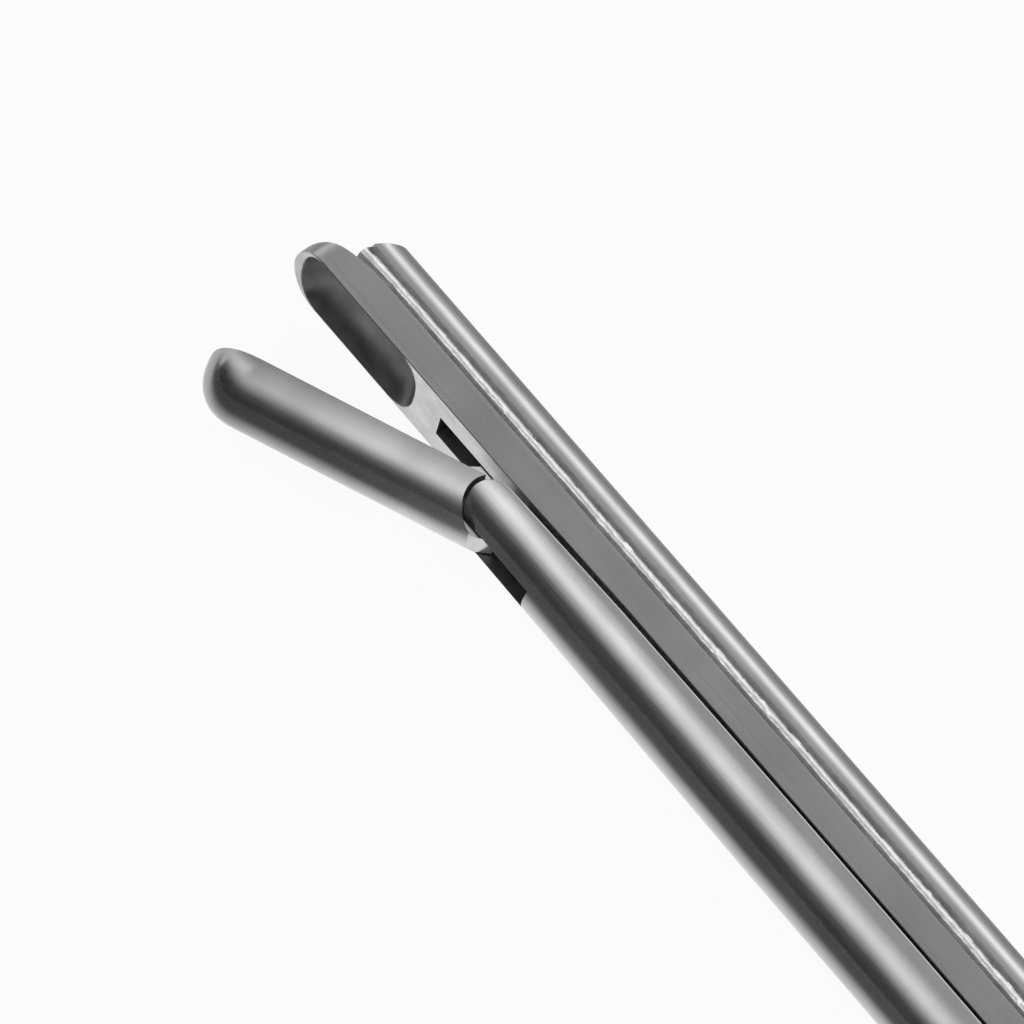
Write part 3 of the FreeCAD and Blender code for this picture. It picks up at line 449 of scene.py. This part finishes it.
def makeJaw():
    cupEnd = jaw["length"] - jaw["cupStart"] - jaw["cupLength"]
    cupFront = jaw["length"] - jaw["cupStart"]
    margin = jaw["cupMargin"]
    fineSteps = int((jaw["cupLength"] + 2 * margin) / jaw["fine"])
    along = stations(
        (jaw["loftStart"], cupEnd - margin, 40), (cupEnd - margin, cupFront, fineSteps))
    along = np.concatenate([along, noseStations(cupFront, jaw["length"])])
    piece = loftPiece("jawSkin", [jawLoop(x) for x in along], "jawSteel")
    centre = (jaw["driveX"], jaw["driveY"])
    tool = jaw["toolHalf"]
    combine(piece, prism(circle(centre, jaw["rootRadius"], jaw["rootSteps"]), -tool, tool, 2))
    low = -jaw["pivotDrop"]
    boss = jaw["boss"]
    crown = jaw["tongueCrown"]
    tongue = np.vstack([
        arc((0, low), boss, 180, 270, jaw["bossSteps"]),
        [(boss, low - boss), (jaw["keel"], 0), (jaw["keel"], jaw["radius"] - jaw["sink"]),
         (jaw["driveX"] + jaw["rootRadius"] / 2, crown), (jaw["driveX"] - jaw["crownBack"], crown),
         (jaw["driveX"] - jaw["tongueBack"], crown - jaw["tongueDrop"])]])
    combine(piece, prism(tongue, -jaw["tongueHalf"], jaw["tongueHalf"], 2), "UNION")
    combine(piece, prism(circle((0, low), jaw["pinHole"], jaw["pinSteps"]), -tool, tool, 2))
    for finish in ("cupPaintedShade", "wallPaintedShade"):
        piece.data.materials.append(steels[finish])
    for face in piece.data.polygons:
        x, y, _ = face.center / mm
        fromDrive = math.hypot(x - jaw["driveX"], y - jaw["driveY"])
        atRoot = abs(fromDrive - jaw["rootRadius"]) < jaw["rootReach"]
        # painted shade on the faces inside the jaw's cup
        if x > cupEnd and y > jaw["cupLip"] and face.normal.y < -jaw["cupFacing"]:
            face.material_index = 1
        # painted shade on the wall of the jaw's root hollow, where it meets the slide's nose
        elif atRoot and abs(face.normal.z) < jaw["rootFacing"]:
            face.material_index = 2
    tidyFaces(piece)
    turn = Matrix.Rotation(math.radians(jaw["openAngle"]), 4, "Z")
    lift = Matrix.Translation(Vector((0, jaw["pivotDrop"], 0)) * mm)
    piece.matrix_world = Matrix.Translation(jawPivot * mm) @ turn @ lift
    finishPiece(piece, "jaw", "jawSteel", "moving_jaw")


makeJaw()
print("jaw made")


# The half-round slide with its bull nose and the open slot for the jaw's tongue
slide = {
    "radius": 2.0, "noseRadius": 0.933, "noseHeight": 1.167, "baseFront": 0.21, "baseBack": 0.09,
    "riseFront": 0.1, "riseBack": 0.24, "flank": 0.22, "taper": 17.0, "rearRound": 0.8,
    "levels": 200, "points": 300, "rounding": 1.5, "roundingReach": 9,      # points of the outline
    "noseLead": 1, "toolAhead": 2, "toolBelow": 1, "toolAbove": 4, "overlap": 0.01,
    "wallFacing": 0.95, "wallReach": 0.01,
    "windowBack": 3.4, "windowHalf": 0.745,
    "studs": (96.0, 26.0), "neckHalf": 0.56, "headHalf": 1.01, "neckTop": 0.54, "headTop": 1.16,
    "studBack": 1.05, "studFront": 0.83, "leverSlotReach": 3.0, "leverSlotHalf": 0.85,
}


def slideLoop(x):
    back = min(max((driveX - x) / slide["taper"], 0), 1)
    rise = slide["riseFront"] + (slide["riseBack"] - slide["riseFront"]) * back
    low = slide["baseFront"] + (slide["baseBack"] - slide["baseFront"]) * back - relief(x)
    high = rise + slide["radius"]
    past = x - driveX
    if past > 0:
        half = math.sqrt(max(slide["noseRadius"] ** 2 - past ** 2, 0))
        low, high = slide["noseHeight"] - half, slide["noseHeight"] + half
    behind = slide["rearRound"] - (x - slideLow.x)
    if behind > 0:
        high -= slide["rearRound"] - math.sqrt(max(slide["rearRound"] ** 2 - behind ** 2, 0))
    levels = np.linspace(low, high, slide["levels"])
    above = np.maximum(levels - rise, slide["flank"])
    wide = np.sqrt(np.maximum(slide["radius"] ** 2 - above ** 2, 0))
    loop = np.vstack([
        np.stack([levels, wide], axis=1), np.stack([levels[::-1], -wide[::-1]], axis=1)])
    gap = np.linalg.norm(np.roll(loop, -1, axis=0) - loop, axis=1)
    reach = np.concatenate([[0], np.cumsum(gap)])
    closed = np.vstack([loop, loop[:1]])
    even = np.linspace(0, reach[-1], slide["points"], endpoint=False)
    loop = np.stack([np.interp(even, reach, closed[:, k]) for k in (0, 1)], axis=1)
    spread = np.arange(-slide["roundingReach"], slide["roundingReach"] + 1)
    weight = np.exp(-0.5 * (spread / slide["rounding"]) ** 2)
    loop = sum(w * np.roll(loop, s, axis=0) for s, w in zip(spread, weight / weight.sum()))
    return np.column_stack([np.full(len(loop), x), mateY + loop[:, 0], midZ + loop[:, 1]])


def makeSlide():
    front = driveX + slide["noseRadius"]
    rear = slideLow.x
    along = stations(
        (rear, rear + slide["rearRound"], 14), (rear, driveX - slide["taper"], 60),
        (driveX - slide["taper"], driveX - slide["noseLead"], 50),
        (driveX - slide["noseLead"], driveX, 20))
    along = np.concatenate([along, noseStations(driveX, front)])
    piece = loftPiece("slideSkin", [slideLoop(x) for x in along], "polishedSteel")
    below, above = mateY - slide["toolBelow"], mateY + slide["toolAbove"]
    windowStart, windowHalf = driveX - slide["windowBack"], slide["windowHalf"]
    combine(piece, squareTool(windowStart, front + slide["toolAhead"], windowHalf, below, above))
    reach = slide["leverSlotReach"]
    middle = driveX - jawPivot.x
    combine(piece, slotTool(middle - reach, middle + reach, slide["leverSlotHalf"], below, above))
    neck = (slide["neckHalf"], -slide["toolBelow"], slide["neckTop"] + slide["overlap"])
    head = (slide["headHalf"], slide["neckTop"], slide["headTop"])
    for stud in slide["studs"]:
        for half, low, high in (neck, head):
            start, end = stud - slide["studBack"] - half, stud + slide["studFront"] + half
            combine(piece, slotTool(start, end, half, mateY + low, mateY + high))
    piece.data.materials.append(steels["wallPaintedShade"])
    # painted shade on the walls of the slide's window
    for face in piece.data.polygons:
        x, _, z = face.center / mm
        inWindow = (x > windowStart - slide["wallReach"]
                    and abs(z - midZ) < windowHalf + slide["wallReach"])
        if inWindow and max(abs(face.normal.z), abs(face.normal.x)) > slide["wallFacing"]:
            face.material_index = 1
    tidyFaces(piece)
    finishPiece(piece, "slide", "polishedSteel", "slide_shaft")


makeSlide()
print("slide made")


# The suction tube: straight along the bar's back, then bent down to the hose connection
tube = {
    "radius": 1.2, "wall": 0.22, "bevel": 0.7, "leavesBar": 47.0, "bend": 4.0,
    "lip": 0.04, "sunk": 0.1, "mouthBack": 0.36,
    "around": 72, "straightSteps": 60, "bendSteps": 40, "tailSteps": 12,
}


def makeTube():
    axisY = mateY - barThickness - tube["radius"] + tube["sunk"]
    turnX = tube["leavesBar"] - tube["bend"]
    mouthX = tubeHigh.x - tube["mouthBack"]
    straight = [(x, axisY, 0.0)
                for x in np.linspace(mouthX, tube["leavesBar"], tube["straightSteps"])]
    bend = []
    for turn in np.radians(np.linspace(0, 90, tube["bendSteps"])[1:]):
        bend.append((tube["leavesBar"] - tube["bend"] * math.sin(turn),
                     axisY - tube["bend"] * (1 - math.cos(turn)), math.degrees(turn)))
    tail = [(turnX, y, 90.0)
            for y in np.linspace(axisY - tube["bend"], tubeLow.y, tube["tailSteps"])[1:]]
    path = straight + bend + tail
    angles = np.linspace(0, 2 * math.pi, tube["around"], endpoint=False)

    def ring(x, y, turned, radius):
        out = radius * np.cos(angles)          # away from the bar where above 0
        side = radius * np.sin(angles)
        lean = math.radians(turned)
        return np.column_stack([
            x + out * math.sin(lean), y - out * math.cos(lean), midZ + side])

    outer = tube["radius"]
    inner = tube["radius"] - tube["wall"]
    rings = [ring(*stop, outer) for stop in path]
    lipped = ring(*path[0], outer - tube["lip"])
    rings[0][:, 0] -= tube["lip"]
    bore = [ring(*stop, inner) for stop in path]
    for mouth in (rings[0], lipped, bore[0]):
        past = np.maximum(axisY - mouth[:, 1], 0) / outer
        mouth[:, 0] -= tube["bevel"] * past
    loops = np.array(bore[::-1] + [lipped] + rings + [bore[-1]])
    points, faces = loftPoints(loops)
    piece = newPiece("tubeSkin", points, faces[:-2], "tubeSteel")
    finishPiece(piece, "frame", "tubeSteel", "suction_tube")


makeTube()
print("tube made")


# The brazed seams: a steep fillet from the tube, a rough crest, a back that turns in to the bar
seam = {
    "start": 47.0, "endBack": 1.8, "tubeAngle": 2.0, "steps": 1500, "seed": 7,
    # from the tube's axis towards the bar, and from the middle plane outwards
    "fillet": ((0.24, 1.33), (0.37, 1.48), (0.50, 1.64), (0.61, 1.76)),
    "crest": ((0.65, 1.81), (0.73, 1.86), (0.82, 1.89), (0.90, 1.895), (0.97, 1.875),
              (1.01, 1.81)),
    "back": ((1.04, 1.71), (1.09, 1.63), (1.25, 1.6)),
    "root": ((1.25, 0.5), (0.2, 1.05)),
    "ripple": 0.018, "sway": 0.02, "climb": 0.8, "climbFrom": 0.2,
    "shadeFacing": -0.62, "inset": 0.01,
    # how much of a ripple, and its grain in steps
    "longRidges": (0.45, 9), "shortRidges": (0.5, 1), "crestGrit": (0.35, 3),
    "filletGrit": (0.3, 7), "swayGrain": 60,
    # the ridges' share in the fillet, and the ripples' shares up and outwards
    "filletRidges": 0.5, "filletShares": (0.15, 0.6),
    "crestPull": (-0.4, 0.8), "filletPull": (-0.6, 0.6),
}


def ripples(count, grain, rng):
    rough = rng.standard_normal(count)
    spread = np.arange(-3 * grain, 3 * grain + 1)
    weight = np.exp(-0.5 * (spread / grain) ** 2)
    smooth = np.convolve(rough, weight, mode="same")
    return smooth / smooth.std()


def ripplePart(part, count, rng):
    much, grain = part
    return much * ripples(count, grain, rng)


def makeSeam(name, hand, node):
    rng = np.random.default_rng(seam["seed"] + hand)
    count = seam["steps"]
    along = np.linspace(seam["start"], tipX - seam["endBack"], count)
    crest = np.array(seam["crest"])
    fillet = np.array(seam["fillet"])
    # ridges run over the whole crest
    bead = ripplePart(seam["longRidges"], count, rng) + ripplePart(seam["shortRidges"], count, rng)
    outer = [bead + ripplePart(seam["crestGrit"], count, rng) for _ in crest]
    inner = [seam["filletRidges"] * bead + ripplePart(seam["filletGrit"], count, rng)
             for _ in fillet]
    sway = ripples(count, seam["swayGrain"], rng)
    axisY = mateY - barThickness - tube["radius"]
    lean = math.radians(seam["tubeAngle"])
    footRadius = tube["radius"] - seam["inset"]
    foot = np.array([tube["sunk"] + footRadius * math.sin(lean), footRadius * math.cos(lean)])
    share = np.linspace(*seam["filletShares"], len(fillet))
    crestUp, crestOut = seam["crestPull"]
    filletUp, filletOut = seam["filletPull"]
    rings = []
    for order, x in enumerate(along):
        deep = barThickness * dome(x - (tipX - bar["slopeLength"]), bar["slopeLength"])
        climb = (barThickness - deep) * seam["climb"]
        teeth = seam["ripple"] * np.array([wave[order] for wave in outer])
        folds = seam["ripple"] * share * np.array([wave[order] for wave in inner])
        drift = seam["sway"] * sway[order]
        rim = crest + np.stack([drift + crestUp * teeth, crestOut * teeth], axis=1)
        slope = fillet + np.stack([drift * share + filletUp * folds, filletOut * folds], axis=1)
        loop = np.vstack([[foot], slope, rim, seam["back"], seam["root"]])
        loop[1:-1, 0] += climb * np.linspace(seam["climbFrom"], 1, len(loop) - 2)
        loop[:, 1] *= hand
        rings.append(np.column_stack(
            [np.full(len(loop), x), axisY + loop[:, 0], midZ + loop[:, 1]]))
    piece = loftPiece(name, rings, "brazeSilver")
    # painted shade on the seam's faces that turn away from the bar
    piece.data.materials.append(steels["brazePaintedShade"])
    for face in piece.data.polygons:
        if face.normal.y < seam["shadeFacing"]:
            face.material_index = 1
    finishPiece(piece, "frame", "brazeSilver", node)


makeSeam("seamNear", 1, "braze_seam_near")
makeSeam("seamFar", -1, "braze_seam_far")
print("seams made")


# The pieces that keep their packed form get their finish
plainNodes = {
    "handleSteel": ("fixed_handle", "moving_handle"),
    "pinSteel": ("jaw_pivot_pin", "jaw_drive_pin", "lever_pin", "handle_rivet_front",
                 "handle_rivet_rear", "guide_stud_front", "guide_stud_rear", "pivot_screw"),
    "tubeSteel": ("tube_ferrule", "hose_nipple"),
}
for finish, names in plainNodes.items():
    for name in names:
        node = frame["nodes"][name]
        node.data.materials.clear()
        node.data.materials.append(steels[finish])


# The studio: pale floor, a soft tent with two long lights in it, and three plain cards on the table
studio = {
    "floorTone": 0.9, "floorRough": 0.9, "whiteShare": 0.93,
    "floorHalf": 3000, "floorHeight": -0.02,
    "tentRadius": 600, "tentLength": 2400, "tentSteps": 120,
    # angles go from straight up towards the slide side
    "tentRest": 0.4, "tentDark": 0.05, "darkFrom": 45, "darkSoft": 5,
    "sideLight": {"angle": -55, "spread": 15, "glow": 0.9},
    "overheadLight": {"angle": 20, "spread": 20, "glow": 0.9},
    "overheadAtJaw": {"angle": 30, "spread": 20, "glow": 0.5},      # dimmer and turned aside there
    "jawEnd": 170, "shaftStart": 235,
    # grey, white and dark card: from and to along Y, and tone
    "tableCards": ((-300, -4, 0.3), (5, 7, 0.9), (12, 300, 0.1)),
    "cardReach": 300, "cardHeight": 0.02,
    "cardTurn": 16,     # how far along X the cards follow the open jaw
}


def glowPaint(name):
    material = bpy.data.materials.new(name)
    material.use_nodes = True
    nodes = material.node_tree.nodes
    nodes.remove(nodes["Principled BSDF"])
    glow = nodes.new("ShaderNodeEmission")
    tone = nodes.new("ShaderNodeAttribute")
    tone.attribute_name = "glow"
    links = material.node_tree.links
    links.new(tone.outputs["Fac"], glow.inputs["Strength"])
    links.new(glow.outputs["Emission"], nodes["Material Output"].inputs["Surface"])
    return material


def stageMesh(name, points, faces, material, glow=None):
    mesh = bpy.data.meshes.new(name)
    mesh.from_pydata((np.asarray(points) * mm).tolist(), [], faces)
    if glow is not None:
        mesh.attributes.new("glow", "FLOAT", "POINT").data.foreach_set("value", glow)
    mesh.materials.append(material)
    item = bpy.data.objects.new(name, mesh)
    scene.collection.objects.link(item)
    return item


def gridFaces(rows, count):
    return [(row + k, row + k + 1, row + count + k + 1, row + count + k)
            for row in range(0, (rows - 1) * count, count) for k in range(count - 1)]


def mathNode(nodes, links, operation, *values):
    node = nodes.new("ShaderNodeMath")
    node.operation = operation
    for socket, value in zip(node.inputs, values):
        if isinstance(value, float):
            socket.default_value = value
        else:
            links.new(value, socket)
    return node.outputs["Value"]


def makeFloor():
    material = bpy.data.materials.new("floorPaint")
    material.use_nodes = True
    nodes = material.node_tree.nodes
    links = material.node_tree.links
    shader = nodes["Principled BSDF"]
    tone = studio["floorTone"]
    shader.inputs["Base Color"].default_value = (tone, tone, tone, 1)
    shader.inputs["Roughness"].default_value = studio["floorRough"]
    white = nodes.new("ShaderNodeEmission")
    paths = nodes.new("ShaderNodeLightPath")
    seen = mathNode(nodes, links, "MAXIMUM",
                    paths.outputs["Is Camera Ray"], paths.outputs["Is Glossy Ray"])
    seen = mathNode(nodes, links, "MAXIMUM", seen, paths.outputs["Is Transmission Ray"])
    share = mathNode(nodes, links, "MULTIPLY", seen, studio["whiteShare"])
    mix = nodes.new("ShaderNodeMixShader")
    links.new(share, mix.inputs["Fac"])
    links.new(shader.outputs["BSDF"], mix.inputs[1])
    links.new(white.outputs["Emission"], mix.inputs[2])
    links.new(mix.outputs["Shader"], nodes["Material Output"].inputs["Surface"])
    half, height = studio["floorHalf"], studio["floorHeight"]
    corners = [(x, y, height)
               for x, y in ((-half, -half), (half, -half), (half, half), (-half, half))]
    stageMesh("floor", corners, [(0, 1, 2, 3)], material)


def hideFromCamera(item, diffuse):
    item.visible_camera = False
    item.visible_shadow = False
    item.visible_diffuse = diffuse


def tentGlow(angles, lights):
    rest = studio["tentRest"] - studio["tentDark"]
    past = (angles - studio["darkFrom"]) / studio["darkSoft"]
    glow = studio["tentDark"] + rest / (1 + np.exp(past))
    for light in lights:
        glow = glow + light["glow"] * np.exp(-((angles - light["angle"]) / light["spread"]) ** 2)
    return glow


def makeTent():
    angles = np.linspace(-90, 90, studio["tentSteps"])
    half, radius = studio["tentLength"] / 2, studio["tentRadius"]
    jawGlow = tentGlow(angles, (studio["sideLight"], studio["overheadAtJaw"]))
    shaftGlow = tentGlow(angles, (studio["sideLight"], studio["overheadLight"]))
    rows = ((-half, jawGlow), (studio["jawEnd"], jawGlow),
            (studio["shaftStart"], shaftGlow), (half, shaftGlow))
    points, glow = [], []
    for x, tones in rows:
        glow.extend(tones)
        for angle in np.radians(angles):
            points.append((x, radius * math.sin(angle), radius * math.cos(angle)))
    faces = gridFaces(len(rows), len(angles))
    hideFromCamera(stageMesh("tent", points, faces, glowPaint("tentGlow"), glow), True)


def makeCards():
    far = studio["cardReach"]
    bend, turn = jawPivot.x, studio["cardTurn"]
    aside = turn * math.tan(math.radians(jaw["openAngle"]))     # two cards follow the open jaw
    edges = [(edge, tone) for start, end, tone in studio["tableCards"] for edge in (start, end)]
    rows = ((-far, 0), (bend, 0), (bend + turn, aside), (far, aside))
    points, glow = [], []
    for x, shift in rows:
        for across, tone in edges:
            points.append((x, across + (shift if across > mateY else 0), studio["cardHeight"]))
            glow.append(tone)
    faces = gridFaces(len(rows), len(edges))
    hideFromCamera(stageMesh("tableCard", points, faces, glowPaint("cardGlow"), glow), False)


makeFloor()
makeTent()
makeCards()
world = bpy.data.worlds.new("studioWorld")
scene.world = world
world.use_nodes = True
sky = world.node_tree.nodes["Background"]
sky.inputs["Color"].default_value = (1, 1, 1, 1)
sky.inputs["Strength"].default_value = 1.0
print("studio made")
